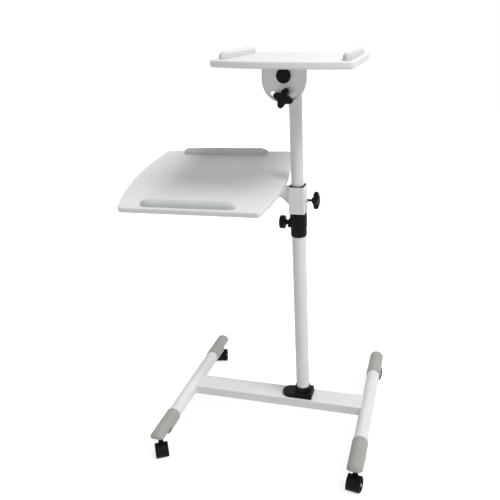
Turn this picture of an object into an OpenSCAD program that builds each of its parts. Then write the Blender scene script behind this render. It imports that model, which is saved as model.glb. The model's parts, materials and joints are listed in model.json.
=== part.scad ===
// Rolling two-board projector table on one telescopic mast.
// The origin is on the floor, at the centre of the whole table's footprint.
// The mast stands nearer to the right leg, and carries the lower board out to the left.

/* [Base] */
// Outer diameter of a leg tube
leg_d = 35; // [32:1:38]
// Wall of the leg tubes
leg_wall = 1.5; // [1.2:0.1:2.5]
// Length of a leg tube, front to back
leg_len = 408; // [380:4:480]
// Height of the leg tubes' axes
leg_height = 60.5; // [59:0.5:70]
// Distance from the mast to the left leg
leg_left = 325; // [280:5:370]
// Distance from the mast to the right leg
leg_right = 175; // [150:5:220]
// Width of the crossbar, front to back
bar_w = 60; // [54:1:70]
// Height of the crossbar
bar_h = 24; // [20:1:28]
// Wall of the crossbar
bar_wall = 2; // [1.5:0.1:2.5]
// Length of the tongue in each end of the crossbar
tongue_len = 70; // [60:1:90]

/* [Leg caps] */
// Outer diameter of a cap
cap_d = 39.5; // [38.5:0.5:43]
// Overlap of a cap on its leg tube
cap_grip = 54; // [40:1:70]
// Length of a cap past the tube's end
cap_nose = 57; // [54:1:66]
// Rounding of the cap's nose
cap_round = 11; // [6:0.5:14]
// Height of the caster's flat seat above the leg's axis
seat_rise = 4; // [0:0.5:6]
// Length of solid cap before the seat begins
seat_inset = 4; // [3:0.5:6]

/* [Casters] */
// Wheel diameter
wheel_d = 36; // [34:1:38]
// Width of one wheel
wheel_w = 11.5; // [10:0.5:14]
// Distance from the swivel axis to the wheel axis
trail = 8; // [6:0.5:9]
// Width of the body between the wheels
fork_w = 10.5; // [10.5:0.5:13]
// Wall of the hood over the wheels
hood_wall = 1.6; // [1.4:0.1:2.4]
// Diameter of the caster's stem
stem_d = 8; // [7:0.5:8]
// Diameter of the wheel axle
axle_d = 5; // [4:0.5:6]
// Swivel of the front left caster from straight ahead
front_left_turn = 30; // [-60:1:60]
// Swivel of the front right caster
front_right_turn = -8; // [-60:1:60]
// Swivel of the back left caster
back_left_turn = 14; // [-60:1:60]
// Swivel of the back right caster
back_right_turn = -12; // [-60:1:60]

/* [Mast] */
// Outer diameter of the lower mast tube
lower_d = 35; // [34.6:0.1:36]
// Outer diameter of the upper mast tube
upper_d = 30; // [29.5:0.1:30.4]
// Wall of the mast tubes and of the arm
mast_wall = 1.5; // [1.2:0.1:1.6]
// Height of the lower mast tube's mouth
lower_top = 590; // [540:5:640]
// How far the mast can be raised
mast_travel = 250; // [150:10:300]
// Height of the top board's tilt axis at rest
head_height = 928.5; // [900:0.5:1000]
// Reach of the head tube in front of the mast
head_reach = 104; // [100:1:120]
// Reach of the head tube behind the mast
head_back = 18; // [16:1:30]

/* [Shoe and collar] */
// Width of the shoe, front to back
shoe_w = 48; // [46:1:52]
// Reach of the shoe's tongue to the left
shoe_left = 56; // [50:1:64]
// Reach of the shoe to the right
shoe_right = 27; // [26:1:32]
// Height of the shoe's tongue
shoe_pad_h = 8; // [6:0.5:11]
// Height of the shoe's block
shoe_block_h = 16; // [13:0.5:20]
// Height of the shoe's socket ring
shoe_ring_h = 30; // [24:1:40]
// Height of the clamp collar below the tube's mouth
collar_below = 54; // [48:1:60]
// Height of the collar's wide upper part below the tube's mouth
collar_wide = 28; // [26:1:32]
// Wall of the collar
collar_wall = 2.4; // [2:0.1:3]
// Depth of the clamp screw below the tube's mouth
clamp_drop = 18; // [16:0.5:19]
// Reach of the collar's boss from the mast axis
boss_reach = 25; // [24.6:0.1:27]
// Diameter of the clamp knob
clamp_knob_d = 33; // [28:1:40]
// Thickness of the clamp knob
clamp_knob_t = 13.4; // [11:0.2:18]

/* [Sleeve and arm] */
// Outside of the square sleeve
sleeve_w = 38; // [37.6:0.1:40]
// Wall of the sleeve
sleeve_wall = 2; // [1.6:0.1:2]
// Height of the sleeve
sleeve_h = 67; // [62:1:80]
// How far the sleeve can slide up the mast
sleeve_travel = 60; // [30:5:60]
// Depth of each liner ring in the sleeve
ring_depth = 14; // [10:1:18]
// Size of the gusset under the arm
gusset_size = 21; // [16:1:30]
// Thickness of the gusset
gusset_t = 4; // [3:0.5:6]

/* [Tilt brackets] */
// Width of a bracket
bracket_w = 96; // [94:1:104]
// Length of a bracket's flange along the tilt axis
bracket_len = 190; // [170:5:220]
// Thickness of the bracket's sheet
bracket_t = 2.5; // [2:0.1:3]
// Radius of the curved slot about the tilt axis
slot_r = 44.6; // [43:0.2:46]
// Greatest tilt each way
tilt_max = 33; // [25:1:34]
// Distance from the slotted plate to the saddle plate
saddle_step = 68; // [60:1:72]

/* [Boards] */
// Length of the lower board, tip to tip
lower_board_l = 400; // [380:5:440]
// Width of the lower board
lower_board_w = 323; // [300:1:340]
// Gap from the mast's axis to the lower board
lower_board_gap = 26; // [25:1:40]
// Tilt of the lower board at rest
lower_tilt = 12.7; // [0:0.1:20]
// Length of the top board, tip to tip
top_board_l = 336; // [320:2:360]
// Width of the top board
top_board_w = 298; // [280:1:310]
// Tilt of the top board at rest
top_tilt = 2.7; // [0:0.1:20]
// Thickness of both boards
board_t = 14.4; // [12:0.2:18]
// How far the boards' ends are bowed out
board_bow = 24.5; // [10:0.5:30]
// Corner radius of the boards
board_corner = 12; // [6:0.5:20]

/* [Stops] */
// Length of a stop
stop_len = 238; // [160:2:260]
// Width of a stop
stop_w = 20; // [14:1:24]
// Height of a stop
stop_h = 15.5; // [12.5:0.5:18]
// Length of a stop's tapered end
stop_taper = 24; // [12:1:36]
// Distance from a stop to the board's edge
stop_inset = 8; // [5:1:16]

/* [Star knobs] */
// Diameter over a star knob's lobes
star_d = 44; // [38:1:45]
// Depth of the dips between its lobes
star_dip = 10; // [5:0.5:12]
// Thickness of a star knob
star_t = 14; // [12:0.5:16]
// Diameter of the clamp screws of the collar and the brackets
lock_d = 8; // [7:0.5:8]
// Diameter of the sleeve's clamp screw
sleeve_lock_d = 6; // [5:0.5:8]

/* [Fits] */
// Clearance round each piece that turns or slides on another
running = 0.05; // [0.02:0.01:0.08]
// Clearance between fixed pieces that fit in one another
snug = 0.1; // [0.05:0.05:0.2]
// Clearance between pieces that pass each other
free = 0.3; // [0.3:0.05:0.5]

/* [Hidden] */
$fn = 96;
over = 1;
leg_r = leg_d / 2;
bar_top = leg_height + bar_h / 2;
bar_under = leg_height - bar_h / 2;

screw_r = 3;
screw_head_r = 5.5;
screw_head_h = 3;
tongue_screw_at = [22, 50];
tongue_screw_row = 14;
tongue_screw_len = 14;

cap_r = cap_d / 2;
cap_lip = 1.5;
cap_tip = leg_len / 2 + cap_nose;
cap_rim = leg_len / 2 - cap_grip;
seat_z = leg_height + seat_rise;
stem_inset = 24;
stem_y = cap_tip - stem_inset;
stem_in = 11;

wheel_r = wheel_d / 2;
stem_flange_t = 1;
stem_flange_r = 7.5;
stem_grip = 34;
neck_r = 6.5;
hood_top = seat_z - stem_flange_t - free;
hood_gap = 0.7;
hood_r = wheel_r + hood_gap + hood_wall;
wheel_gap = 0.4;
wheel_x = fork_w / 2 + wheel_gap;
hub_dish = 2;
hub_r = 7;
rim_t = 3;
tread_round = 2;
axle_head_r = 4;
axle_head_t = 1.2;
hood_short = 0.5;
hood_w = 2 * (wheel_x + wheel_w - hood_short);
hood_back = -28;
hood_front = 150;

shoe_screw_r = 2.5;
shoe_block_left = 20;
shoe_corner = 3;
shoe_ring_wall = 3;
shoe_step = 1;
shoe_screw_end = 14;
shoe_screw_side = 7;
shoe_screws_at = [[shoe_screw_end - shoe_left, 0],
    [shoe_right - shoe_screw_side, shoe_w / 2 - shoe_screw_side],
    [shoe_right - shoe_screw_side, shoe_screw_side - shoe_w / 2]];
mast_bolt_r = 5;
mast_bolt_head_r = 9;
mast_bolt_head_h = 6.5;
washer_r = 12;
plate_washer_r = 8;
washer_t = 2;
foot_t = 6;

lower_r = lower_d / 2;
lower_bore = lower_r - mast_wall;
upper_r = upper_d / 2;
liner_flange_t = 1.5;
liner_below = 60;
bush_h = 30;
bush_floor = 3;
bush_margin = 5;
upper_foot = lower_top - liner_below - mast_travel - bush_h - bush_margin + bush_floor;

collar_r = lower_r + collar_wall;
collar_wide_r = collar_r + 1;
collar_cap = 4;
collar_round = 6;
collar_top = lower_top + liner_flange_t + free + collar_cap;
boss_half = 11;
boss_slope = 7;
clamp_z = lower_top - clamp_drop;
nut_t = 5.6;
nut_r = 7.5;
lock_r = lock_d / 2;
knob_gap = 8;
knob_neck_gap = 2;
knob_neck_r = 5.5;
flute_r = 5;
flutes = 8;
knob_round = 2.5;

ring_flange_t = 1.3;
ring_flange_r = 18.5;
sleeve_bottom = collar_top + 2 * free + ring_flange_t + free;
sleeve_top = sleeve_bottom + sleeve_h;
sleeve_corner = 3;
arm_z = sleeve_top - upper_r;
sleeve_lock_share = 0.47;
sleeve_lock_z = sleeve_bottom + sleeve_lock_share * sleeve_h;
sleeve_lock_r = sleeve_lock_d / 2;
weld_nut_r = 7;
weld_nut_t = 5;
star_hub_r = 7;
star_hub_t = 4.3;
star_stand = 15.7;
star_lobes = 4;
plate_knob_turn = 68;

bracket_gap = 0.3;
bracket_under = upper_r + bracket_gap;
bracket_top = bracket_under + bracket_t;
plate_r = bracket_w / 2;
plate_bottom = 56;
slot_half = lock_r + 0.5;
slot_end = tilt_max + 1;
plate_ahead = 3;
plate_front = bracket_len / 2 + plate_ahead;
lip_w = 1.6;
lip_t = 2;
saddle_half = 22;
emboss_w = 2.4;
emboss_r = upper_r + emboss_w;
emboss_t = 1.2;
lug_w = 24;
lug_t = 4;
plug_dome = 2;
plug_lip = 0.8;
plug_in = 12;
bracket_screw_shares = [-0.4, 0, 0.4];
bracket_screw_x = 34;
wood_screw_r = 2;
wood_screw_head_r = 4;
wood_screw_head_h = 2.2;
wood_screw_in = 10;
stop_screw_in = 8;
stop_screw_shares = [-0.35, 0.35];
board_under = bracket_top;
board_top = board_under + board_t;
lower_board_x = -lower_board_gap - lower_board_l / 2;

left_reach = max(lower_board_gap + lower_board_l, leg_left + cap_r);
right_reach = leg_right + max(cap_r, hood_w / 2);
mast_x = (left_reach - right_reach) / 2;
front_reach = stem_y + max(caster_reach(front_left_turn), caster_reach(front_right_turn));
back_reach = max(cap_tip,
    stem_y + max(caster_reach(180 + back_left_turn), caster_reach(180 + back_right_turn)));
mast_y = (front_reach - back_reach) / 2;

white = [0.93, 0.93, 0.94];
board_white = [0.96, 0.96, 0.96];
grey = [0.67, 0.67, 0.64];
black = [0.09, 0.09, 0.1];
steel = [0.7, 0.71, 0.73];
light_grey = [0.75, 0.75, 0.77];

// Basic forms

module rod_x(r, x0, x1) translate([x0, 0, 0]) rotate([0, 90, 0]) cylinder(r = r, h = x1 - x0);

module rod_y(r, y0, y1) translate([0, y0, 0]) rotate([-90, 0, 0]) cylinder(r = r, h = y1 - y0);

module rod_z(r, z0, z1) translate([0, 0, z0]) cylinder(r = r, h = z1 - z0);

module tube_y(r, wall, y0, y1) difference() {
    rod_y(r, y0, y1);
    rod_y(r - wall, y0 - over, y1 + over);
}

module tube_z(r, wall, z0, z1) difference() {
    rod_z(r, z0, z1);
    rod_z(r - wall, z0 - over, z1 + over);
}

// A box given by its low and high corners
module block(low, high) translate(low) cube(high - low);

function arc(cx, cy, r, a0, a1, n) =
    [for (i = [0:n]) [cx + r * cos(a0 + (a1 - a0) * i / n), cy + r * sin(a0 + (a1 - a0) * i / n)]];

// Pan-head screw that points up, with its head's seat at z = 0
module pan_screw(r, head_r, head_h, len) {
    rod_z(r, 0, len);
    difference() {
        rod_z(head_r, -head_h, 0);
        translate([0, 0, -head_h]) cylinder(r = r, h = head_h, center = true, $fn = 6);
    }
}

// Base

module leg(x) color(white)
    translate([x, 0, leg_height]) tube_y(leg_r, leg_wall, -leg_len / 2, leg_len / 2);

module leg_left() leg(-leg_left);
module leg_right() leg(leg_right);

module leg_cope() {
    translate([-leg_left, 0, leg_height]) rod_y(leg_r + snug, -bar_w, bar_w);
    translate([leg_right, 0, leg_height]) rod_y(leg_r + snug, -bar_w, bar_w);
}

module at_tongue_screws() {
    for (d = tongue_screw_at, y = [-1, 1]) {
        translate([d + leg_r - leg_left, y * tongue_screw_row, 0]) children();
        translate([leg_right - leg_r - d, y * tongue_screw_row, 0]) children();
    }
}

module crossbar() color(white) difference() {
    block([-leg_left, -bar_w / 2, bar_under], [leg_right, bar_w / 2, bar_top]);
    block([-leg_left - over, bar_wall - bar_w / 2, bar_under + bar_wall],
        [leg_right + over, bar_w / 2 - bar_wall, bar_top - bar_wall]);
    leg_cope();
    at_tongue_screws() rod_z(screw_r + free, bar_under - over, bar_under + bar_wall + over);
    for (p = shoe_screws_at) translate(p) rod_z(shoe_screw_r + free, bar_under - over, bar_top + over);
    rod_z(mast_bolt_r + free, bar_under - over, bar_top + over);
}

module tongues() color(steel) difference() {
    for (x = [[-leg_left, leg_r + tongue_len - leg_left], [leg_right - leg_r - tongue_len, leg_right]])
        block([x[0], bar_wall + free - bar_w / 2, bar_under + bar_wall + free],
            [x[1], bar_w / 2 - bar_wall - free, bar_top - bar_wall - free]);
    leg_cope();
    at_tongue_screws() rod_z(screw_r + running, bar_under, bar_under + tongue_screw_len + snug);
}

module tongue_screws() color(steel) at_tongue_screws() translate([0, 0, bar_under])
    pan_screw(screw_r, screw_head_r, screw_head_h, tongue_screw_len);

// Moulded end cap: a revolved cup with a flat seat cut under its nose
module cap_form() {
    bore = leg_r + snug;
    difference() {
        rotate([-90, 0, 0]) rotate_extrude() polygon(concat(
            [[0, leg_len / 2 + snug], [bore, leg_len / 2 + snug], [bore, cap_rim]],
            arc(cap_r - cap_lip, cap_rim + cap_lip, cap_lip, -90, 0, 6),
            arc(cap_r - cap_round, cap_tip - cap_round, cap_round, 0, 90, 16),
            [[0, cap_tip]]));
        block([-cap_r, leg_len / 2 + seat_inset, -cap_r - over], [cap_r, cap_tip + over, seat_rise]);
        translate([0, stem_y, 0]) rod_z(stem_d / 2 + running, seat_rise - over, seat_rise + stem_in + snug);
    }
}

module cap(x, side) color(grey) translate([x, 0, leg_height]) mirror([0, side < 0 ? 1 : 0, 0]) cap_form();

module cap_front_left() cap(-leg_left, -1);
module cap_front_right() cap(leg_right, -1);
module cap_back_left() cap(-leg_left, 1);
module cap_back_right() cap(leg_right, 1);

// Casters, each in its own frame on the swivel axis, trailing towards +Y.
// Straight ahead, a caster on the table trails towards -Y.

module at_caster(x, side) {
    front_turn = x < 0 ? front_left_turn : front_right_turn;
    back_turn = x < 0 ? back_left_turn : back_right_turn;
    translate([x, side * stem_y, 0]) rotate(180 + (side < 0 ? front_turn : back_turn)) children();
}

module at_all_casters() for (x = [-leg_left, leg_right], side = [-1, 1]) at_caster(x, side) children();

// How far a caster swivelled by a reaches in front of its stem's axis
function caster_reach(a) = trail * cos(a) + hood_r * abs(cos(a)) + hood_w / 2 * abs(sin(a));

module caster_stems() color(steel) at_all_casters() {
    rod_z(stem_d / 2, seat_z - stem_grip, seat_z + stem_in);
    rod_z(stem_flange_r, seat_z - stem_flange_t, seat_z);
}

module on_axle() translate([0, trail, wheel_r]) children();

// The part of the hood's ring that is kept: from low on the outside, over the top
module hood_sector() rotate([90, 0, 90]) linear_extrude(hood_w + over, center = true)
    polygon(concat([[0, 0]], arc(0, 0, 2 * hood_r, hood_back, hood_front, 12)));

module hood_form() difference() {
    union() {
        on_axle() intersection() {
            difference() {
                rod_x(hood_r, -hood_w / 2, hood_w / 2);
                rod_x(hood_r - hood_wall, -hood_w, hood_w);
            }
            hood_sector();
        }
        on_axle() intersection() {
            rod_x(hood_r - hood_wall / 2, -fork_w / 2, fork_w / 2);
            hood_sector();
        }
        on_axle() rod_x(wheel_r - rim_t, -fork_w / 2, fork_w / 2);
        rod_z(neck_r, wheel_r + trail, hood_top);
    }
    on_axle() {
        rod_x(hood_r - hood_wall, fork_w / 2, hood_w);
        rod_x(hood_r - hood_wall, -hood_w, -fork_w / 2);
    }
    rod_z(stem_d / 2 + running, seat_z - stem_grip - free, seat_z + over);
    on_axle() rod_x(axle_d / 2 + snug, -hood_w, hood_w);
}

module hood(x, side) color(black) at_caster(x, side) hood_form();

module hood_front_left() hood(-leg_left, -1);
module hood_front_right() hood(leg_right, -1);
module hood_back_left() hood(-leg_left, 1);
module hood_back_right() hood(leg_right, 1);

module axle_form() on_axle() {
    reach = wheel_x + wheel_w - hub_dish + free;
    rod_x(axle_d / 2, -reach, reach);
    rod_x(axle_head_r, reach, reach + axle_head_t);
    rod_x(axle_head_r, -reach - axle_head_t, -reach);
}

module axle(x, side) color(steel) at_caster(x, side) axle_form();

module axle_front_left() axle(-leg_left, -1);
module axle_front_right() axle(leg_right, -1);
module axle_back_left() axle(-leg_left, 1);
module axle_back_right() axle(leg_right, 1);

// One wheel, revolved: a tread with rounded edges, a dished web and a hub
module wheel_form() on_axle() translate([wheel_x, 0, 0]) rotate([0, 90, 0]) rotate_extrude() {
    bore = axle_d / 2 + running;
    polygon(concat(
        [[bore, 0]],
        arc(wheel_r - tread_round, tread_round, tread_round, -90, 0, 6),
        arc(wheel_r - tread_round, wheel_w - tread_round, tread_round, 0, 90, 6),
        [[wheel_r - rim_t, wheel_w], [wheel_r - rim_t, wheel_w / 2], [hub_r, wheel_w / 2],
            [hub_r, wheel_w - hub_dish], [bore, wheel_w - hub_dish]]));
}

module wheel(x, side, hand) color(black) at_caster(x, side) mirror([hand < 0 ? 1 : 0, 0, 0]) wheel_form();

module wheel_front_left_a() wheel(-leg_left, -1, -1);
module wheel_front_left_b() wheel(-leg_left, -1, 1);
module wheel_front_right_a() wheel(leg_right, -1, -1);
module wheel_front_right_b() wheel(leg_right, -1, 1);
module wheel_back_left_a() wheel(-leg_left, 1, -1);
module wheel_back_left_b() wheel(-leg_left, 1, 1);
module wheel_back_right_a() wheel(leg_right, 1, -1);
module wheel_back_right_b() wheel(leg_right, 1, 1);

// Mast

module shoe_plan(left) {
    round_r = shoe_w / 2;
    if (left > shoe_block_left) {
        translate([round_r - left, 0]) circle(round_r);
        translate([round_r - left, -shoe_w / 2]) square([shoe_right + left - round_r, shoe_w]);
    } else translate([-left, shoe_step - shoe_w / 2])
        square([shoe_right - shoe_step + left, shoe_w - 2 * shoe_step]);
}

module shoe() color(black) translate([0, 0, bar_top]) difference() {
    union() {
        linear_extrude(shoe_pad_h) shoe_plan(shoe_left);
        linear_extrude(shoe_block_h) shoe_plan(shoe_block_left);
        rod_z(lower_r + shoe_ring_wall, 0, shoe_ring_h);
    }
    rod_z(lower_r + snug, -over, shoe_ring_h + over);
    for (p = shoe_screws_at) translate(p) rod_z(shoe_screw_r + running, -over, shoe_pad_h - shoe_step);
}

module shoe_screws() color(steel) for (p = shoe_screws_at) translate([p[0], p[1], bar_under])
    pan_screw(shoe_screw_r, screw_head_r, screw_head_h, bar_h + shoe_pad_h - 2 * shoe_step);

module mast_bolt() color(steel) {
    rod_z(mast_bolt_r, bar_under, bar_top + foot_t + shoe_step);
    rod_z(washer_r, bar_under - washer_t, bar_under);
    translate([0, 0, bar_under - washer_t - mast_bolt_head_h])
        cylinder(r = mast_bolt_head_r, h = mast_bolt_head_h, $fn = 6);
}

module lower_tube() color(white) difference() {
    rod_z(lower_r, bar_top, lower_top);
    rod_z(lower_bore, bar_top + foot_t, lower_top + over);
    rod_z(mast_bolt_r + running, bar_top - over, bar_top + foot_t + over);
    translate([0, 0, clamp_z]) rod_x(lock_r + free, -lower_d, 0);
}

// Clamp collar: a revolved cup over the tube's mouth, with a boss for the clamp screw
module collar() color(black) difference() {
    union() {
        rotate_extrude() polygon(concat(
            [[0, lower_top - collar_below]],
            arc(collar_r - collar_round, lower_top - collar_below + collar_round, collar_round, -90, 0, 8),
            [[collar_r, lower_top - collar_wide], [collar_wide_r, lower_top - collar_wide + over],
                [collar_wide_r, collar_top], [0, collar_top]]));
        translate([0, boss_half, 0]) rotate([90, 0, 0]) linear_extrude(2 * boss_half) polygon([
            [0, lower_top - collar_wide], [-boss_reach, lower_top - collar_wide],
            [-boss_reach, clamp_z + nut_r], [boss_slope - boss_reach, clamp_z + nut_r + boss_slope],
            [0, clamp_z + nut_r + boss_slope]]);
    }
    rod_z(lower_r + snug, lower_top - collar_below - over, lower_top);
    rod_z(lower_r + snug, lower_top - over, lower_top + liner_flange_t + snug);
    rod_z(upper_r + free + snug, lower_top, collar_top + over);
    translate([0, 0, clamp_z]) {
        rod_x(lock_r + free, -boss_reach - over, 0);
        rotate([0, -90, 0]) cylinder(r = nut_r + snug, h = lower_r + free + nut_t + snug, $fn = 6);
    }
}

module collar_liner() color(light_grey) difference() {
    union() {
        rod_z(lower_bore - running, lower_top - liner_below, lower_top + liner_flange_t);
        rod_z(lower_r, lower_top, lower_top + liner_flange_t);
    }
    rod_z(upper_r + running, lower_top - liner_below - over, lower_top + liner_flange_t + over);
    translate([0, 0, clamp_z]) rod_x(lock_r + free, -lower_d, 0);
}

module collar_nut() color(steel) translate([-lower_r - free, 0, clamp_z]) rotate([0, -90, 0]) difference() {
    cylinder(r = nut_r, h = nut_t, $fn = 6);
    rod_z(lock_r + running, -over, nut_t + over);
}

// Round clamp knob with fluted edge, on the collar's left
module clamp_knob() color(black)
    translate([-boss_reach - knob_gap, 0, clamp_z]) rotate([0, -90, 0]) difference() {
    r = clamp_knob_d / 2;
    union() {
        rotate_extrude() polygon(concat([[0, 0], [r - knob_round, 0]],
            arc(r - knob_round, knob_round, knob_round, -90, 0, 6),
            arc(r - knob_round, clamp_knob_t - knob_round, knob_round, 0, 90, 6), [[0, clamp_knob_t]]));
        translate([0, 0, knob_neck_gap - knob_gap])
            cylinder(r1 = knob_neck_r, r2 = knob_neck_r + knob_round, h = knob_gap - knob_neck_gap);
    }
    for (i = [1:flutes]) rotate(i * 360 / flutes) translate([r + flute_r - knob_round / 2, 0, 0])
        rod_z(flute_r, -over, clamp_knob_t + over);
    rod_z(lock_r + snug, -knob_gap - over, clamp_knob_t / 2);
}

module clamp_screw() color(steel) translate([0, 0, clamp_z])
    rod_x(lock_r, -boss_reach - knob_gap - clamp_knob_t / 2, -upper_r - free);

module foot_bush() color(light_grey) difference() {
    rod_z(lower_bore - running, upper_foot - bush_floor, upper_foot - bush_floor + bush_h);
    rod_z(upper_r + running, upper_foot - running, upper_foot + bush_h);
    rod_z(upper_r / 2, upper_foot - bush_floor - over, upper_foot);
}

module upper_tube() color(white) difference() {
    tube_z(upper_r, mast_wall, upper_foot, head_height);
    translate([0, 0, head_height]) rod_y(upper_r + running, -upper_d, upper_d);
}

// The lock lug under a tilt tube, behind the slotted plate, with its weld nut
module lug(front) difference() {
    union() {
        block([-lug_w / 2, front, -slot_r], [lug_w / 2, front + lug_t, 0]);
        translate([0, 0, -slot_r]) rod_y(lug_w / 2, front, front + lug_t);
        translate([0, front + lug_t - snug, -slot_r]) rotate([-90, 0, 0])
            cylinder(r = nut_r, h = nut_t, $fn = 6);
    }
    rod_y(upper_r - mast_wall / 2, front - over, front + lug_t + over);
    translate([0, 0, -slot_r]) rod_y(lock_r + running, front - over, front + lug_t + nut_t + over);
}

// A tilt tube along Y, with its lug behind the slotted plate
module tilt_tube(front, back) {
    difference() {
        union() {
            rod_y(upper_r, front, back);
            lug(-plate_front + bracket_t + free);
        }
        rod_y(upper_r - mast_wall, front - over, back + over);
    }
}

module head_tube() color(white) translate([0, 0, head_height]) tilt_tube(-head_reach, head_back);

module plug_form(lip) rotate([90, 0, 0]) {
    rod_z(upper_r - mast_wall - snug, -plug_in, 0);
    rotate_extrude() polygon(concat(
        [[0, 0]], arc(upper_r + lip - plug_dome, 0, plug_dome, 0, 90, 6), [[0, plug_dome]]));
}

module head_plugs() color(black) translate([0, 0, head_height]) {
    translate([0, -head_reach, 0]) plug_form(plug_lip);
    translate([0, head_back, 0]) mirror([0, 1, 0]) plug_form(0);
}

// Tilt sets: each in its own frame on the tilt axis, with the slotted plate towards -Y

module at_top(tilt) translate([0, 0, head_height]) rotate([0, tilt, 0]) children();

module at_lower(tilt) translate([lower_board_x, 0, arm_z]) rotate([0, 0, -90]) rotate([0, tilt, 0]) children();

// The curved slot, swept about the tilt axis
module slot_cut(front, back) {
    difference() {
        rod_y(slot_r + slot_half, front, back);
        rod_y(slot_r - slot_half, front - over, back + over);
        for (s = [-1, 1]) rotate([0, s * slot_end, 0]) mirror([s < 0 ? 0 : 1, 0, 0])
            block([0, front - over, -2 * slot_r], [2 * slot_r, back + over, 2 * slot_r]);
    }
    for (s = [-1, 1]) rotate([0, s * slot_end, 0]) translate([0, 0, -slot_r]) rod_y(slot_half, front, back);
}

module at_bracket_screws() for (s = bracket_screw_shares, x = [-1, 1])
    translate([x * bracket_screw_x, s * bracket_len, 0]) children();

// Face of the slotted plate: straight at the flange, half round below
module plate_face(r) {
    translate([-r, plate_r - plate_bottom]) square([2 * r, bracket_top + plate_bottom - plate_r]);
    intersection() {
        translate([0, plate_r - plate_bottom]) circle(r);
        translate([-r, -plate_bottom]) square([2 * r, plate_r]);
    }
}

// Pressed bracket: a flange, a slotted plate with a lip and a raised ring, and a saddle plate
module bracket_form() color(light_grey) difference() {
    union() {
        block([-plate_r, -plate_front, bracket_under], [plate_r, bracket_len - plate_front, bracket_top]);
        translate([0, bracket_t - plate_front, 0]) rotate([90, 0, 0])
            linear_extrude(bracket_t) plate_face(plate_r);
        translate([0, -plate_front, 0]) rotate([90, 0, 0]) linear_extrude(lip_t) difference() {
            plate_face(plate_r);
            plate_face(plate_r - lip_w);
        }
        intersection() {
            rod_y(emboss_r, -plate_front - emboss_t, -plate_front);
            block([-emboss_r, -plate_front - emboss_t, -emboss_r], [emboss_r, -plate_front, bracket_top]);
        }
        translate([0, saddle_step - plate_front, 0]) {
            block([-saddle_half, 0, 0], [saddle_half, bracket_t, bracket_top]);
            intersection() {
                rod_y(saddle_half, 0, bracket_t);
                block([-saddle_half, 0, -saddle_half], [saddle_half, bracket_t, 0]);
            }
        }
    }
    rod_y(upper_r + running, -plate_front - emboss_t - over, saddle_step + bracket_t + over - plate_front);
    slot_cut(-plate_front - over, bracket_t + over - plate_front);
    at_bracket_screws() rod_z(wood_screw_r + free, bracket_under - over, bracket_top + over);
}

module top_bracket() at_top(top_tilt) bracket_form();
module lower_bracket() at_lower(lower_tilt) bracket_form();

// Board outline: straight sides, bowed ends and round corners, all tangent
function board_points(l, w) =
    let (end_r = (w * w / 4 + board_bow * board_bow) / (2 * board_bow),
        c = l / 2 - end_r,
        x = w / 2 - board_corner,
        y = c + sqrt(pow(end_r - board_corner, 2) - x * x),
        a = atan2(y - c, x),
        right = concat(arc(x, y, board_corner, 0, a, 10), arc(0, c, end_r, a, 90, 16)),
        n = len(right) - 1)
    concat(right,
        [for (i = [1:n]) [-right[n - i][0], right[n - i][1]]],
        [for (i = [0:n]) [-right[i][0], -right[i][1]]],
        [for (i = [1:n]) [right[n - i][0], -right[n - i][1]]]);

module at_stop_screws(w) for (x = [-1, 1], s = stop_screw_shares)
    translate([x * (w / 2 - stop_inset - stop_w / 2), s * stop_len, board_under]) children();

module board_form(l, w) color(board_white) difference() {
    translate([0, 0, board_under]) linear_extrude(board_t) polygon(board_points(l, w));
    at_bracket_screws() rod_z(wood_screw_r + running, board_under - over, board_under + wood_screw_in + snug);
    at_stop_screws(w) rod_z(wood_screw_r + free, -over, board_t + over);
}

module top_board() at_top(top_tilt) board_form(top_board_l, top_board_w);
module lower_board() at_lower(lower_tilt) board_form(lower_board_l, lower_board_w);

// Half of a stop's plan: a straight bar with elliptic ends
function stop_points(r, reach) = concat(
    [for (a = [0:10:90]) [r * cos(a), reach - stop_taper + stop_taper * sin(a)]],
    [for (a = [90:-10:0]) [r * cos(a), stop_taper - reach - stop_taper * sin(a)]]);

// A stop: straight below, and above that half round, tapering to its ends
module stop_form() difference() {
    r = stop_w / 2;
    half = stop_points(r, stop_len / 2);
    union() {
        linear_extrude(stop_h - r) for (x = [-1, 1]) scale([x, 1]) polygon(half);
        intersection() {
            translate([0, 0, stop_h - r]) rotate([90, 0, 0]) rotate_extrude() polygon(half);
            block([-r, -stop_len / 2, stop_h - r], [r, stop_len / 2, stop_h]);
        }
    }
    for (s = stop_screw_shares) translate([0, s * stop_len, 0])
        rod_z(wood_screw_r + running, -over, stop_screw_in + snug);
}

module stops(w) color(grey) for (x = [-1, 1])
    translate([x * (w / 2 - stop_inset - stop_w / 2), 0, board_top]) stop_form();

module top_stops() at_top(top_tilt) stops(top_board_w);
module lower_stops() at_lower(lower_tilt) stops(lower_board_w);

module board_screws(w) color(steel) {
    at_bracket_screws() translate([0, 0, bracket_under])
        pan_screw(wood_screw_r, wood_screw_head_r, wood_screw_head_h, bracket_t + wood_screw_in);
    at_stop_screws(w) pan_screw(wood_screw_r, wood_screw_head_r, wood_screw_head_h, board_t + stop_screw_in);
}

module top_screws() at_top(top_tilt) board_screws(top_board_w);
module lower_screws() at_lower(lower_tilt) board_screws(lower_board_w);

// Star knob with four lobes, in its own frame: +Z points away from the work
module star_form(bore) difference() {
    mean = (star_d - star_dip) / 2;
    intersection() {
        linear_extrude(star_t) polygon(
            [for (a = [0:5:355]) (mean + star_dip / 2 * cos(star_lobes * a)) * [cos(a), sin(a)]]);
        rotate_extrude() polygon(concat([[0, 0], [star_d / 2 - 2 * knob_round, 0]],
            [[star_d / 2, knob_round], [star_d / 2, star_t - 2 * knob_round]],
            [[star_d / 2 - 2 * knob_round, star_t - knob_round], [star_hub_r + knob_round, star_t],
                [0, star_t]]));
    }
    rod_z(bore, -over, star_t / 2);
}

module star_hub(bore) difference() {
    rod_z(star_hub_r, -star_hub_t, 0);
    rod_z(bore, -star_hub_t - over, over);
}

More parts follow.
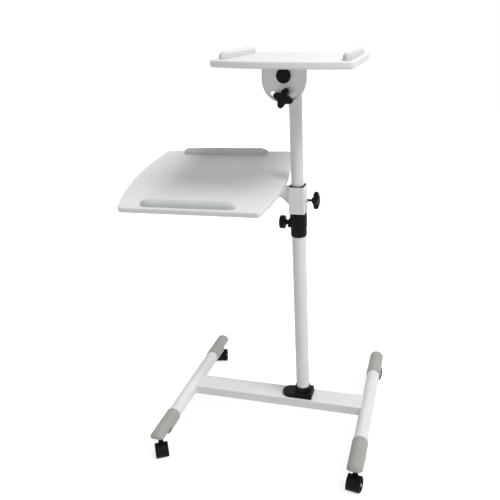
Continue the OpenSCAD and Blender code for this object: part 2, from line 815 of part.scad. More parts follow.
module at_star(outer) translate([0, outer, -slot_r]) rotate([90, 0, 0]) children();

plate_knob_gap = washer_t + 2 * free + star_hub_t;

module plate_knob() color(black) at_star(-plate_front - emboss_t - plate_knob_gap) rotate(plate_knob_turn) {
    star_form(lock_r + snug);
    star_hub(lock_r + snug);
}

module plate_stud() color(steel) translate([0, 0, -slot_r]) {
    rod_y(lock_r, -plate_front - emboss_t - plate_knob_gap - star_t / 2,
        lug_t + nut_t - plate_front + 2 * lock_r);
    rod_y(plate_washer_r, -plate_front - free - washer_t, -plate_front - free);
}

module top_knob() at_top(0) plate_knob();
module top_stud() at_top(0) plate_stud();
module lower_knob() at_lower(0) plate_knob();
module lower_stud() at_lower(0) plate_stud();

// Sleeve and arm

module sleeve_rings() color(black) difference() {
    union() {
        for (z = [sleeve_bottom + free, sleeve_top - ring_depth])
            rod_z(sleeve_w / 2 - sleeve_wall - running, z, z + ring_depth - free);
        rod_z(ring_flange_r, sleeve_bottom - free - ring_flange_t, sleeve_bottom - free);
        rod_z(ring_flange_r, sleeve_top + free, sleeve_top + free + ring_flange_t);
        rod_z(sleeve_w / 2 - sleeve_wall - free, sleeve_bottom - free, sleeve_bottom + free);
        rod_z(sleeve_w / 2 - sleeve_wall - free, sleeve_top - free, sleeve_top + free);
    }
    rod_z(upper_r + running, sleeve_bottom - ring_flange_t - over, sleeve_top + ring_flange_t + over);
}

// Square tube with round corners
module sleeve_square(w, r) {
    square([w - 2 * r, w], center = true);
    square([w, w - 2 * r], center = true);
    for (x = [-1, 1], y = [-1, 1]) translate([x, y] * (w / 2 - r)) circle(r);
}

module sleeve() color(white) difference() {
    translate([0, 0, sleeve_bottom]) linear_extrude(sleeve_h) difference() {
        sleeve_square(sleeve_w, sleeve_corner);
        sleeve_square(sleeve_w - 2 * sleeve_wall, sleeve_corner - sleeve_wall);
    }
    translate([0, 0, sleeve_lock_z]) rod_x(sleeve_lock_r + free, 0, sleeve_w);
}

module sleeve_nut() color(white) translate([0, 0, sleeve_lock_z]) difference() {
    rod_x(weld_nut_r, sleeve_w / 2, sleeve_w / 2 + weld_nut_t);
    rod_x(sleeve_lock_r + running, 0, sleeve_w);
}

module sleeve_knob() color(black) translate([sleeve_w / 2 + star_stand + star_hub_t, 0, sleeve_lock_z])
    rotate([0, 90, 0]) {
        star_form(sleeve_lock_r + snug);
        star_hub(sleeve_lock_r + snug);
    }

module sleeve_screw() color(steel) translate([0, 0, sleeve_lock_z])
    rod_x(sleeve_lock_r, upper_r + free, sleeve_w / 2 + star_stand + star_hub_t + star_t / 2);

module arm_tube() color(white) difference() {
    at_lower(0) tilt_tube(-head_reach, -lower_board_x - sleeve_w / 2);
}

module gusset() color(white) difference() {
    translate([-sleeve_w / 2, gusset_t / 2, arm_z]) rotate([90, 0, 0]) linear_extrude(gusset_t) polygon([
        [0, 0], [-gusset_size, 0], [-gusset_size, -upper_r], [0, -upper_r - gusset_size]]);
    translate([0, 0, arm_z]) rod_x(upper_r, -sleeve_w - gusset_size, 0);
}

module arm_plug() color(black) at_lower(0) translate([0, -head_reach, 0]) plug_form(plug_lip);

module place() translate([mast_x, mast_y, 0]) children();

place() leg_left();
place() leg_right();
place() crossbar();
place() tongues();
place() tongue_screws();
place() cap_front_left();
place() cap_front_right();
place() cap_back_left();
place() cap_back_right();
place() caster_stems();
place() shoe();
place() shoe_screws();
place() mast_bolt();
place() lower_tube();
place() collar();
place() collar_liner();
place() collar_nut();
place() clamp_knob();
place() clamp_screw();
place() hood_front_left();
place() hood_front_right();
place() hood_back_left();
place() hood_back_right();
place() axle_front_left();
place() axle_front_right();
place() axle_back_left();
place() axle_back_right();
place() wheel_front_left_a();
place() wheel_front_left_b();
place() wheel_front_right_a();
place() wheel_front_right_b();
place() wheel_back_left_a();
place() wheel_back_left_b();
place() wheel_back_right_a();
place() wheel_back_right_b();
place() foot_bush();
place() upper_tube();
place() head_tube();
place() head_plugs();
place() top_bracket();
place() top_board();
place() top_stops();
place() top_screws();
place() top_knob();
place() top_stud();
place() sleeve_rings();
place() sleeve();
place() sleeve_nut();
place() arm_tube();
place() gusset();
place() arm_plug();
place() sleeve_knob();
place() sleeve_screw();
place() lower_bracket();
place() lower_board();
place() lower_stops();
place() lower_screws();
place() lower_knob();
place() lower_stud();
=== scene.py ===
import json
import math
import bmesh
import bpy
from mathutils import Matrix, Vector


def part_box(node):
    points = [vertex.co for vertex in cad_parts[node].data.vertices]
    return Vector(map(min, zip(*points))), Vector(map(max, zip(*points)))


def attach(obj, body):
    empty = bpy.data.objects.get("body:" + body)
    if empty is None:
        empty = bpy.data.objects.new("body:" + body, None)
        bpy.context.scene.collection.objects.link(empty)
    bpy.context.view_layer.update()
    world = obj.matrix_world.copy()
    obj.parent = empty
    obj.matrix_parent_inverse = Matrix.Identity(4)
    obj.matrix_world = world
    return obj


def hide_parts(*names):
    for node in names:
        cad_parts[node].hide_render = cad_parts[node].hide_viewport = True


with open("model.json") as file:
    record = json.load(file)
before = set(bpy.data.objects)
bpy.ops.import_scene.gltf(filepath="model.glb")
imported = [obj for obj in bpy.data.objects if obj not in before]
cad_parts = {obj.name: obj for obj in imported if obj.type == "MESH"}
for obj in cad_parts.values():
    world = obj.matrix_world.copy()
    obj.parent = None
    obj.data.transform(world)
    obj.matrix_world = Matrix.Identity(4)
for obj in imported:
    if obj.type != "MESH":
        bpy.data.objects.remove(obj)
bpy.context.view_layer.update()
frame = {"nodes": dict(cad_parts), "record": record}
nodes = frame["nodes"]
record = frame["record"]
mm = 0.001
print("frame loaded:", len(nodes), "nodes")

slotOf = {part["node"]: part["material_slot"] for part in record["subparts"]}
bodyOf = {node: body for body, held in record["behaviour"]["bodies"].items() for node in held}
faceOf = {mount["name"]: Vector(mount["axis"]) for mount in record["mounts"]}


# Places that the pieces share, read from the frame
def middle(node):
    low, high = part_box(node)
    return (Vector(low) + Vector(high)) / 2


def halfSize(node):
    low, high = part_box(node)
    return (Vector(high) - Vector(low)) / 2


mast = middle("upper_tube")
tubeR = halfSize("upper_tube").x
headZ = middle("head_plugs").z
armZ = middle("arm_plug").z


# Small helpers for colours and nodes

def hexColour(text):
    parts = [int(text[i:i + 2], 16) / 255 for i in (0, 2, 4)]
    return [c / 12.92 if c <= 0.04045 else ((c + 0.055) / 1.055) ** 2.4 for c in parts] + [1]


def addNode(tree, kind, settings=None, **links):
    node = tree.nodes.new(kind)
    for key, value in (settings or {}).items():
        if isinstance(key, int) or key in node.inputs:
            node.inputs[key].default_value = value
        else:
            setattr(node, key, value)
    for key, source in links.items():
        tree.links.new(source, node.inputs[int(key[1:]) if key[1:].isdigit() else key.replace("_", " ")])
    return node


def perMm(size):
    # pattern scale for a feature of that many millimetres
    return 1000 / size


# Finishes. Each look starts from what the real material is; sizes are in mm.
looks = {
    # powder coat on steel tube: even white with a faint orange peel that softens the highlight
    "white_paint": {"name": "powderCoatWhite", "colour": "ececee", "shade": "e3e3e7",
                    "patch": 60, "rough": (0.34, 0.44), "grain": 1.4, "height": 0.02},
    # melamine-faced board: bright white, closed surface with a fine pearl texture
    "board": {"name": "melamineWhite", "colour": "f1f1f2", "shade": "ebebed",
              "patch": 90, "rough": (0.38, 0.5), "grain": 0.6, "height": 0.012},
    # warm grey moulded ABS with spark-eroded grain, dull where hands have not polished it
    "grey_plastic": {"name": "grainedAbsGrey", "colour": "aeaea6", "shade": "9f9f98",
                     "patch": 35, "rough": (0.42, 0.58), "grain": 0.7, "height": 0.04},
    # glass-filled nylon, near black, with a soft grain that catches a grey sheen
    "black_plastic": {"name": "glassFilledNylonBlack", "colour": "0a0a0b", "shade": "131315",
                      "patch": 18, "rough": (0.4, 0.55), "grain": 0.8, "height": 0.05, "specular": 0.1},
    # the stops are a paler, softer moulding than the end caps and keep a long soft highlight
    "stop_plastic": {"name": "softPvcPaleGrey", "colour": "d9dcdc", "shade": "cdd1d1",
                     "patch": 40, "rough": (0.3, 0.42), "grain": 1.1, "height": 0.02},
    # hard polyurethane tread, black with a little floor dust in it
    "black_tyre": {"name": "polyurethaneTread", "colour": "0c0c0c", "shade": "1b1a18",
                   "patch": 9, "rough": (0.5, 0.7), "grain": 0.9, "height": 0.06, "specular": 0.1},
    # natural nylon bushes: milky, slightly waxy
    "nylon": {"name": "naturalNylon", "colour": "d2d2c8", "shade": "c6c5b9",
              "patch": 14, "rough": (0.38, 0.5), "grain": 1.0, "height": 0.02},
    # pressed bracket under light silver paint: a fine metallic speckle breaks up the grey
    "bracket_paint": {"name": "silverEnamel", "colour": "dadadc", "shade": "c8c8cb",
                      "patch": 1.1, "rough": (0.32, 0.46), "grain": 1.2, "height": 0.02, "metal": 0.25},
    # zinc plate: bluish metal whose spangles differ a little in brightness
    "zinc_steel": {"name": "zincPlate", "colour": "bcc0c6", "shade": "9da2ab",
                   "patch": 2.5, "rough": (0.24, 0.42), "grain": 0.5, "height": 0.015,
                   "metal": 1.0, "spangle": True},
    # black oxide on the small clamp screw: dark, dry metal
    "black_oxide": {"name": "blackOxide", "colour": "151517", "shade": "232327",
                    "patch": 3, "rough": (0.3, 0.5), "grain": 0.4, "height": 0.015,
                    "metal": 0.15, "specular": 0.2},
}


# What all finishes share: how the gloss wanders against the colour patches, and how strong the grain reads
finishRule = {"wanderShare": 0.6, "wanderDetail": 3.0, "glossFrom": 0.3, "glossTo": 0.7,
              "grainDetail": 2.0, "bump": 0.5, "specular": 0.5}


def makeFinish(look, rule):
    mat = bpy.data.materials.new(look["name"])
    mat.use_nodes = True
    tree = mat.node_tree
    bsdf = tree.nodes["Principled BSDF"]
    bsdf.inputs["Metallic"].default_value = look.get("metal", 0.0)
    bsdf.inputs["Specular IOR Level"].default_value = look.get("specular", rule["specular"])
    where = addNode(tree, "ShaderNodeTexCoord").outputs["Object"]
    # colour variation in patches
    kind = "ShaderNodeTexVoronoi" if look.get("spangle") else "ShaderNodeTexNoise"
    patches = addNode(tree, kind, {"Scale": perMm(look["patch"])}, Vector=where)
    amount = patches.outputs["Distance" if look.get("spangle") else 0]
    ends = {"data_type": "RGBA", 6: hexColour(look["colour"]), 7: hexColour(look["shade"])}
    colours = addNode(tree, "ShaderNodeMix", ends, Factor=amount)
    tree.links.new(colours.outputs[2], bsdf.inputs["Base Color"])
    # gloss that wanders between two roughnesses
    wander = addNode(tree, "ShaderNodeTexNoise", {"Scale": perMm(look["patch"] * rule["wanderShare"]),
                                                  "Detail": rule["wanderDetail"]}, Vector=where)
    span = {"From Min": rule["glossFrom"], "From Max": rule["glossTo"],
            "To Min": look["rough"][0], "To Max": look["rough"][1]}
    gloss = addNode(tree, "ShaderNodeMapRange", span, Value=wander.outputs[0])
    tree.links.new(gloss.outputs[0], bsdf.inputs["Roughness"])
    # moulded or sprayed grain
    grain = addNode(tree, "ShaderNodeTexNoise", {"Scale": perMm(look["grain"]), "Detail": rule["grainDetail"]},
                    Vector=where)
    bump = addNode(tree, "ShaderNodeBump", {"Strength": rule["bump"], "Distance": look["height"] * mm},
                   Height=grain.outputs[0])
    tree.links.new(bump.outputs[0], bsdf.inputs["Normal"])
    return mat


finishes = {slot: makeFinish(look, finishRule) for slot, look in looks.items()}
for name, obj in nodes.items():
    obj.data.materials.clear()
    obj.data.materials.append(finishes[slotOf[name]])
nodes["sleeve_screw"].data.materials[0] = finishes["black_oxide"]
for name in ("top_stops", "lower_stops"):
    nodes[name].data.materials[0] = finishes["stop_plastic"]
print("materials made:", len(finishes))


# Geometry Nodes trees and what is grown from them

def newTree(name, sockets):
    tree = bpy.data.node_groups.new(name, "GeometryNodeTree")
    tree.interface.new_socket("Geometry", in_out="OUTPUT", socket_type="NodeSocketGeometry")
    for label, kind in [("Geometry", "NodeSocketGeometry")] + sockets + [("Finish", "NodeSocketMaterial")]:
        tree.interface.new_socket(label, in_out="INPUT", socket_type=kind)
    return tree, tree.nodes.new("NodeGroupInput"), tree.nodes.new("NodeGroupOutput")


def closeTree(tree, given, out, shape):
    real = addNode(tree, "GeometryNodeRealizeInstances", Geometry=shape)
    finish = addNode(tree, "GeometryNodeSetMaterial", Geometry=real.outputs[0],
                     Material=given.outputs["Finish"])
    tree.links.new(finish.outputs[0], out.inputs[0])


def grow(name, points, edges, tree, values, body, slot, replaced=(), axes=None):
    # runs a tree on a few points or a path, and leaves a plain mesh that rides on the body
    base = bpy.data.meshes.new(name)
    base.from_pydata([tuple(p) for p in points], edges, [])
    if axes:
        held = base.attributes.new("axis", "FLOAT_VECTOR", "POINT")
        held.data.foreach_set("vector", [c for axis in axes for c in axis])
    piece = bpy.data.objects.new(name, base)
    bpy.context.scene.collection.objects.link(piece)
    grown = piece.modifiers.new("grow", "NODES")
    grown.node_group = tree
    for socket in tree.interface.items_tree:
        if socket.in_out == "INPUT" and socket.name in values:
            grown[socket.identifier] = values[socket.name]
        elif socket.in_out == "INPUT" and socket.name == "Finish":
            grown[socket.identifier] = finishes[slot]
    result = bpy.data.meshes.new_from_object(piece.evaluated_get(bpy.context.evaluated_depsgraph_get()))
    result.validate()
    piece.modifiers.remove(grown)
    piece.data = result
    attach(piece, body)
    if replaced:
        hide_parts(*replaced)
    return piece


# Finished pieces: the CAD solid's own surface, joined up, with its long sharp edges rounded

edges = {
    "default": {"edge": 0.5, "steps": 2, "smooth": 38, "loop": 24},
    "board": {"edge": 3.2, "steps": 5, "smooth": 38, "loop": 100},
    "cap_": {"edge": 1.2, "steps": 3, "smooth": 38, "loop": 24},
    "stops": {"edge": 0.8, "steps": 3, "smooth": 50, "loop": 60},
    "knob": {"edge": 0.9, "steps": 3, "smooth": 42, "loop": 60},
    "clamp_knob": {"edge": 0.6, "steps": 2, "smooth": 42, "loop": 60},
    "hood_": {"edge": 0.5, "steps": 2, "smooth": 38, "loop": 24},
    "wheel_": {"edge": 0.4, "steps": 2, "smooth": 38, "loop": 24},
    "shoe": {"edge": 1.0, "steps": 3, "smooth": 38, "loop": 24},
    "collar": {"edge": 0.8, "steps": 3, "smooth": 38, "loop": 60},
    "crossbar": {"edge": 1.5, "steps": 3, "smooth": 38, "loop": 100},
    "bracket": {"edge": 0.5, "steps": 2, "smooth": 38, "loop": 30},
}


# Points closer than merge (mm) are joined, faces flatter to each other than flat (degrees) made one,
# and only edges sharper than sharp (degrees) rounded
mending = {"merge": 0.001, "flat": 0.4, "sharp": 40}


def edgeFor(name):
    fitting = [key for key in edges if key in name]
    return edges[max(fitting, key=len)] if fitting else edges["default"]


def longLoops(mesh, least):
    # sharp edges in connected runs at least that long, so that screw holes keep their rims
    limit = math.radians(mending["sharp"])
    sharp = [e for e in mesh.edges if len(e.link_faces) == 2 and e.calc_face_angle(0) > limit]
    left, kept = set(sharp), []
    for start in sharp:
        run, reach = [], [start] if start in left else []
        left.discard(start)
        while reach:
            edge = reach.pop()
            run.append(edge)
            for vert in edge.verts:
                for other in vert.link_edges:
                    if other in left:
                        left.remove(other)
                        reach.append(other)
        if sum(e.calc_length() for e in run) > least * mm:
            kept += run
    return kept


def refine(name):
    size = edgeFor(name)
    source = nodes[name]
    work = bmesh.new()
    work.from_mesh(source.data)
    bmesh.ops.transform(work, matrix=source.matrix_world, verts=work.verts)
    bmesh.ops.remove_doubles(work, verts=work.verts, dist=mending["merge"] * mm)
    bmesh.ops.dissolve_limit(work, angle_limit=math.radians(mending["flat"]), verts=work.verts, edges=work.edges)
    bmesh.ops.bevel(work, geom=longLoops(work, size["loop"]), offset=size["edge"] * mm,
                    offset_type="OFFSET", segments=size["steps"], profile=0.5, affect="EDGES",
                    clamp_overlap=True)
    mesh = bpy.data.meshes.new(name + "Finished")
    work.to_mesh(mesh)
    work.free()
    for layer in [a.name for a in mesh.attributes if a.name == "custom_normal"]:
        mesh.attributes.remove(mesh.attributes[layer])
    mesh.materials.append(source.data.materials[0])
    mesh.shade_smooth()
    mesh.set_sharp_from_angle(angle=math.radians(size["smooth"]))
    piece = bpy.data.objects.new(name + "Finished", mesh)
    bpy.context.scene.collection.objects.link(piece)
    shading = piece.modifiers.new("even shading", "WEIGHTED_NORMAL")
    shading.keep_sharp = True
    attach(piece, bodyOf[name])
    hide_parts(name)


grownNodes = ("tongue_screws", "shoe_screws", "top_screws", "lower_screws")
for name in nodes:
    if name not in grownNodes:
        refine(name)
print("pieces refined")

# Pan-head screws with a cross recess, one per screw of the frame. The shares are of the head's radius;
# tip is how near its end (mm) a point of the CAD screw lies to count as the tip, and sizes read from
# the CAD screw are rounded to that many digits of a metre.
screws = {"recessWideShare": 0.22, "recessLongShare": 1.15, "crownShare": 0.72, "rimShare": 0.95,
          "tip": 0.01, "sides": 32, "digits": 5}


def makeScrewTree(size):
    names = ("Head Radius", "Head Height", "Shank Radius", "Shank Length")
    tree, given, out = newTree("panScrews", [(name, "NodeSocketFloat") for name in names])
    headR, headH, shankR, shankL = (given.outputs[name] for name in names)
    scaled = {}
    for label, source, factor in (("crown", headR, size["crownShare"]), ("long", headR, size["recessLongShare"]),
                                  ("wide", headR, size["recessWideShare"]), ("under", headH, -1),
                                  ("halfway", shankL, 0.5)):
        sized = addNode(tree, "ShaderNodeMath", {"operation": "MULTIPLY", 1: factor}, _0=source)
        scaled[label] = sized.outputs[0]
    # the head's seat is at zero, its crown below
    under = addNode(tree, "ShaderNodeCombineXYZ", Z=scaled["under"]).outputs[0]
    head = addNode(tree, "GeometryNodeMeshCone", {"Vertices": size["sides"]}, Radius_Top=headR,
                   Radius_Bottom=scaled["crown"], Depth=headH)
    head = addNode(tree, "GeometryNodeTransform", Geometry=head.outputs[0], Translation=under)
    cross = addNode(tree, "GeometryNodeMeshBoolean", {"operation": "DIFFERENCE"}, _0=head.outputs[0])
    for x, y in (("long", "wide"), ("wide", "long")):
        box = addNode(tree, "ShaderNodeCombineXYZ", X=scaled[x], Y=scaled[y], Z=headH)
        bar = addNode(tree, "GeometryNodeMeshCube", Size=box.outputs[0])
        bar = addNode(tree, "GeometryNodeTransform", Geometry=bar.outputs[0], Translation=under)
        tree.links.new(bar.outputs[0], cross.inputs[1])
    halfway = addNode(tree, "ShaderNodeCombineXYZ", Z=scaled["halfway"]).outputs[0]
    shank = addNode(tree, "GeometryNodeMeshCylinder", {"Vertices": size["sides"]}, Radius=shankR, Depth=shankL)
    shank = addNode(tree, "GeometryNodeTransform", Geometry=shank.outputs[0], Translation=halfway)
    screw = addNode(tree, "GeometryNodeJoinGeometry")
    for part in (cross, shank):
        tree.links.new(part.outputs[0], screw.inputs[0])
    axis = addNode(tree, "GeometryNodeInputNamedAttribute", {"data_type": "FLOAT_VECTOR", "Name": "axis"})
    turn = addNode(tree, "FunctionNodeAlignRotationToVector", {"axis": "Z"}, Vector=axis.outputs[0])
    placed = addNode(tree, "GeometryNodeInstanceOnPoints", Points=given.outputs["Geometry"],
                     Instance=screw.outputs[0], Rotation=turn.outputs[0])
    closeTree(tree, given, out, placed.outputs[0])
    return tree


def screwSeats(name, axis):
    # seat, head radius, head height, shank radius and length of each separate screw solid
    work = bmesh.new()
    work.from_mesh(nodes[name].data)
    bmesh.ops.transform(work, matrix=nodes[name].matrix_world, verts=work.verts)
    bmesh.ops.remove_doubles(work, verts=work.verts, dist=mending["merge"] * mm)
    tipFrom = screws["tip"] * mm
    seen, found = set(), []
    for start in work.verts:
        if start in seen:
            continue
        seen.add(start)
        reach, island = [start], []
        while reach:
            vert = reach.pop()
            island.append(vert.co.copy())
            for edge in vert.link_edges:
                other = edge.other_vert(vert)
                if other not in seen:
                    seen.add(other)
                    reach.append(other)
        heights = [p.dot(axis) for p in island]
        low, high = min(heights), max(heights)
        tip = [p for p, h in zip(island, heights) if h > high - tipFrom]
        centre = sum(tip, Vector()) / len(tip)
        off = [(p - centre - (p - centre).dot(axis) * axis).length for p in island]
        headR = max(off)
        shankR = max(o for o, h in zip(off, heights) if h > high - tipFrom)
        seatAt = max(h for o, h in zip(off, heights) if o > screws["rimShare"] * headR)
        sizes = [round(value, screws["digits"]) for value in (headR, seatAt - low, shankR)]
        found.append((centre - (high - seatAt) * axis, *sizes, high - seatAt))
    work.free()
    return found


screwTree = makeScrewTree(screws)
for name, axis in (("tongue_screws", Vector((0, 0, 1))), ("shoe_screws", Vector((0, 0, 1))),
                   ("top_screws", faceOf["top_board_face"]), ("lower_screws", faceOf["lower_board_face"])):
    # screws of one length are grown together
    groups = {}
    for seat, headR, headH, shankR, length in screwSeats(name, axis):
        groups.setdefault(round(length, screws["digits"]), []).append((seat, headR, headH, shankR))
    for count, (length, group) in enumerate(sorted(groups.items())):
        seat, headR, headH, shankR = group[0]
        values = {"Head Radius": headR, "Head Height": headH, "Shank Radius": shankR, "Shank Length": length}
        grow(f"{name}Grown{count}", [g[0] for g in group], [], screwTree, values, bodyOf[name],
             "zinc_steel", (name,), [axis] * len(group))
print("screws grown")

# Weld beads: a rippled round bead along each welded joint
welds = {"radius": 1.3, "leg": 1.1, "ripple": 1.6, "swell": 0.12, "stepShare": 0.25,
         "profile": 12, "points": 72, "sidePoints": 12}


def makeBeadTree(size):
    names = ("Bead Radius", "Ripple", "Swell")
    tree, given, out = newTree("weldBead", [(name, "NodeSocketFloat") for name in names])
    path = addNode(tree, "GeometryNodeMeshToCurve", Mesh=given.outputs["Geometry"])
    step = addNode(tree, "ShaderNodeMath", {"operation": "MULTIPLY", 1: size["stepShare"]},
                   _0=given.outputs["Ripple"])
    fine = addNode(tree, "GeometryNodeResampleCurve", {"mode": "LENGTH"}, Curve=path.outputs[0],
                   Length=step.outputs[0])
    along = addNode(tree, "GeometryNodeSplineParameter")
    turns = addNode(tree, "ShaderNodeMath", {"operation": "DIVIDE"}, _0=along.outputs["Length"],
                    _1=given.outputs["Ripple"])
    phase = addNode(tree, "ShaderNodeMath", {"operation": "MULTIPLY", 1: 2 * math.pi}, _0=turns.outputs[0])
    wave = addNode(tree, "ShaderNodeMath", {"operation": "SINE"}, _0=phase.outputs[0])
    swell = addNode(tree, "ShaderNodeMath", {"operation": "MULTIPLY_ADD", 2: 1.0}, _0=wave.outputs[0],
                    _1=given.outputs["Swell"])
    ringed = addNode(tree, "GeometryNodeSetCurveRadius", Curve=fine.outputs[0], Radius=swell.outputs[0])
    ring = addNode(tree, "GeometryNodeCurvePrimitiveCircle", {"Resolution": size["profile"]},
                   Radius=given.outputs["Bead Radius"])
    bead = addNode(tree, "GeometryNodeCurveToMesh", Curve=ringed.outputs[0], Profile_Curve=ring.outputs[0])
    closeTree(tree, given, out, bead.outputs[0])
    return tree


beadTree = makeBeadTree(welds)


def layBead(name, points, body, radius, swell, slot="white_paint", closed=True):
    count = len(points)
    links = [(i, i + 1) for i in range(count - 1)] + ([(count - 1, 0)] if closed else [])
    values = {"Bead Radius": radius * mm, "Ripple": welds["ripple"] * mm, "Swell": swell}
    return grow(name, points, links, beadTree, values, body, slot)


turnsRound = [2 * math.pi * i / welds["points"] for i in range(welds["points"])]
# mast to head tube: two tubes of one size meet in a saddle
saddle = [(mast.x + tubeR * math.cos(t), mast.y + tubeR * math.sin(t), headZ - tubeR * abs(math.sin(t)))
          for t in turnsRound]
layBead("headWeld", saddle, "upper_mast", welds["radius"], welds["swell"])
# arm to sleeve: a plain ring on the sleeve's left face
sleeveX = mast.x - halfSize("sleeve").x
armRing = [(sleeveX, mast.y + tubeR * math.cos(t), armZ + tubeR * math.sin(t)) for t in turnsRound]
layBead("armWeld", armRing, "sleeve_arm", welds["radius"], welds["swell"])


def legWeld(leg, side):
    # the crossbar's outline laid on the leg's round side
    centre, radius, bar = middle(leg), halfSize(leg).x, halfSize("crossbar")
    corners = [(1, 1), (-1, 1), (-1, -1), (1, -1)]
    outline, steps = [], welds["sidePoints"]
    for (y0, z0), (y1, z1) in zip(corners, corners[1:] + corners[:1]):
        for i in range(steps):
            y, z = (y0 + (y1 - y0) * i / steps) * bar.y, (z0 + (z1 - z0) * i / steps) * bar.z
            outline.append((centre.x + side * math.sqrt(radius ** 2 - z ** 2), centre.y + y, centre.z + z))
    layBead(leg + "Weld", outline, "root", welds["leg"], welds["swell"])


legWeld("leg_left", 1)
legWeld("leg_right", -1)
print("welds laid")

# Raised rim on the shoe's tongue, following its rounded end
shoeRim = {"inset": 5, "radius": 0.9, "reach": 21, "tip": 20, "points": 28}


def makeShoeRim(size):
    low, high = (Vector(c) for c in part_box("shoe"))
    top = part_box("crossbar")[1].z + tongueHeight
    radius = (high.y - low.y) / 2 - size["inset"] * mm
    centre = low.x + (high.y - low.y) / 2
    bend = [math.pi / 2 + math.pi * i / size["points"] for i in range(size["points"] + 1)]
    path = [(mast.x - size["reach"] * mm, mast.y + radius, top)]
    path += [(centre + radius * math.cos(t), mast.y + radius * math.sin(t), top) for t in bend]
    path += [(mast.x - size["reach"] * mm, mast.y - radius, top)]
    layBead("shoeRim", path, "root", size["radius"], 0.0, "black_plastic", False)


def tongueTop(tip):
    # height of the shoe's flat tongue over the crossbar, read from the shoe's own points
    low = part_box("shoe")[0]
    points = [nodes["shoe"].matrix_world @ v.co for v in nodes["shoe"].data.vertices]
    return max(p.z for p in points if p.x < low.x + tip * mm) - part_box("crossbar")[1].z


tongueHeight = tongueTop(shoeRim["tip"])
makeShoeRim(shoeRim)
print("shoe rim made")

# Painted shade: a square black ring over the ring's flange round the sleeve's mouth, a black sheet that stands
# in for the shade in the gap between the tube and the sleeve, wider at the corners
sleeveGapShade = {"inset": 0.5, "bore": 0.4, "over": 0.1, "cornerShare": 1.34, "steps": 64}


def makeSleeveGapShade(size):
    half = halfSize("sleeve").x - size["inset"] * mm
    bore = tubeR + size["bore"] * mm
    seat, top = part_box("sleeve")[1].z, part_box("sleeve_rings")[1].z + size["over"] * mm
    work = bmesh.new()
    rings = []
    for height, square in ((top, True), (seat, True), (seat, False), (top, False)):
        ring = []
        for i in range(size["steps"]):
            turn = 2 * math.pi * i / size["steps"]
            x, y = math.cos(turn), math.sin(turn)
            reach = min(half / max(abs(x), abs(y)), half * size["cornerShare"]) if square else bore
            ring.append(work.verts.new((mast.x + reach * x, mast.y + reach * y, height)))
        rings.append(ring)
    for a, b in zip(rings, rings[1:] + rings[:1]):
        for i in range(size["steps"]):
            j = (i + 1) % size["steps"]
            work.faces.new((a[i], a[j], b[j], b[i]))
    bmesh.ops.recalc_face_normals(work, faces=work.faces)
    mesh = bpy.data.meshes.new("sleeveGapShade")
    work.to_mesh(mesh)
    work.free()
    # the black here is painted shade for the dark gap inside the sleeve's mouth
    mesh.materials.append(finishes["black_plastic"])
    piece = bpy.data.objects.new("sleeveGapShade", mesh)
    bpy.context.scene.collection.objects.link(piece)
    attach(piece, bodyOf["sleeve_rings"])


makeSleeveGapShade(sleeveGapShade)
print("sleeve trim made")

# Camera at the photograph's viewing angle
camera = {"lens": 42.015, "sensor": 36, "yaw": 18.27, "pitch": 21.03, "roll": -3.39,
          "place": (309.5, -1330.8, 1030.2)}


def makeCamera(size):
    yaw, pitch, roll = (math.radians(size[k]) for k in ("yaw", "pitch", "roll"))
    forward = Vector((-math.sin(yaw) * math.cos(pitch), math.cos(yaw) * math.cos(pitch), -math.sin(pitch)))
    flatRight = Vector((math.cos(yaw), math.sin(yaw), 0))
    flatUp = flatRight.cross(forward)
    right = math.cos(roll) * flatRight + math.sin(roll) * flatUp
    up = math.cos(roll) * flatUp - math.sin(roll) * flatRight
    data = bpy.data.cameras.new("camera")
    data.sensor_width = size["sensor"]
    data.lens = size["lens"]
    cam = bpy.data.objects.new("camera", data)
    bpy.context.scene.collection.objects.link(cam)
    place = Vector(size["place"]) * mm + Vector((mast.x, mast.y, 0))
    turn = Matrix((right, up, -forward)).transposed().to_4x4()
    cam.matrix_world = Matrix.Translation(place) @ turn
    bpy.context.scene.camera = cam


makeCamera(camera)

# Floor, world and lamps. The white ground comes from what the camera sees, not from more light.
studio = {
    "floorSize": 12, "floorColour": "dcdcdc", "world": 0.36, "aim": (0, 0, 0.5),
    "whiteNear": 0.7, "whiteFar": 0.86, "whiteFrom": 0.8, "whiteTo": 4.0,
    # name, place, watts and width of each lamp
    "lamps": [("key", (6.0, -2.4, 8.8), 680, 3.8), ("fill", (-1.8, -2.6, 1.6), 2, 1.6),
              ("back", (0.4, 3.6, 3.0), 18, 1.9)],
}


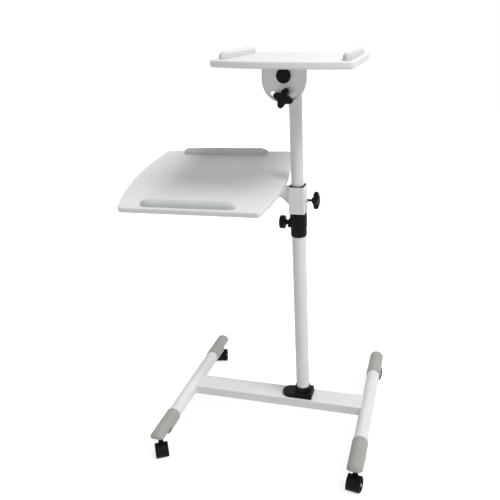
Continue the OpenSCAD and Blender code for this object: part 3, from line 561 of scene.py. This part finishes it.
def cameraAmount(tree, white, **links):
    # white where the camera, or a mirror or glass, looks at it
    path = addNode(tree, "ShaderNodeLightPath")
    seen = addNode(tree, "ShaderNodeMath", {"operation": "MAXIMUM"}, _0=path.outputs["Is Camera Ray"],
                   _1=path.outputs["Is Glossy Ray"])
    seen = addNode(tree, "ShaderNodeMath", {"operation": "MAXIMUM"}, _0=seen.outputs[0],
                   _1=path.outputs["Is Transmission Ray"])
    amount = addNode(tree, "ShaderNodeMath", {"operation": "MULTIPLY", 1: white}, _0=seen.outputs[0], **links)
    return amount.outputs[0]


def floorWhite(tree, size):
    # the floor brightens away from the cart, so that it meets the background and keeps the cart's shadow
    where = addNode(tree, "ShaderNodeNewGeometry").outputs["Position"]
    far = addNode(tree, "ShaderNodeVectorMath", {"operation": "LENGTH"}, _0=where).outputs["Value"]
    span = {"From Min": size["whiteFrom"], "From Max": size["whiteTo"],
            "To Min": size["whiteNear"], "To Max": size["whiteFar"]}
    white = addNode(tree, "ShaderNodeMapRange", span, Value=far)
    return cameraAmount(tree, 1.0, _1=white.outputs[0])


def makeStudio(size):
    scene = bpy.context.scene
    scene.view_settings.view_transform = "Standard"
    bpy.ops.mesh.primitive_plane_add(size=size["floorSize"])
    floor = bpy.context.object
    floor.name = "floor"
    mat = bpy.data.materials.new("paleFloor")
    mat.use_nodes = True
    tree = mat.node_tree
    tree.nodes.clear()
    diffuse = addNode(tree, "ShaderNodeBsdfDiffuse", {"Color": hexColour(size["floorColour"])})
    glow = addNode(tree, "ShaderNodeEmission", Strength=floorWhite(tree, size))
    both = addNode(tree, "ShaderNodeAddShader", _0=diffuse.outputs[0], _1=glow.outputs[0])
    addNode(tree, "ShaderNodeOutputMaterial", Surface=both.outputs[0])
    floor.data.materials.append(mat)
    world = bpy.data.worlds.new("studio")
    scene.world = world
    world.use_nodes = True
    sky = world.node_tree
    extra = cameraAmount(sky, 1 - size["world"])
    strength = addNode(sky, "ShaderNodeMath", {"operation": "ADD", 1: size["world"]}, _0=extra)
    sky.nodes["Background"].inputs["Color"].default_value = (1, 1, 1, 1)
    sky.links.new(strength.outputs[0], sky.nodes["Background"].inputs["Strength"])
    for name, place, energy, lampSize in size["lamps"]:
        data = bpy.data.lights.new(name, "AREA")
        data.energy = energy
        data.size = lampSize
        lamp = bpy.data.objects.new(name, data)
        scene.collection.objects.link(lamp)
        lamp.location = place
        lamp.rotation_euler = (Vector(size["aim"]) - Vector(place)).to_track_quat("-Z", "Y").to_euler()


makeStudio(studio)
print("studio ready")
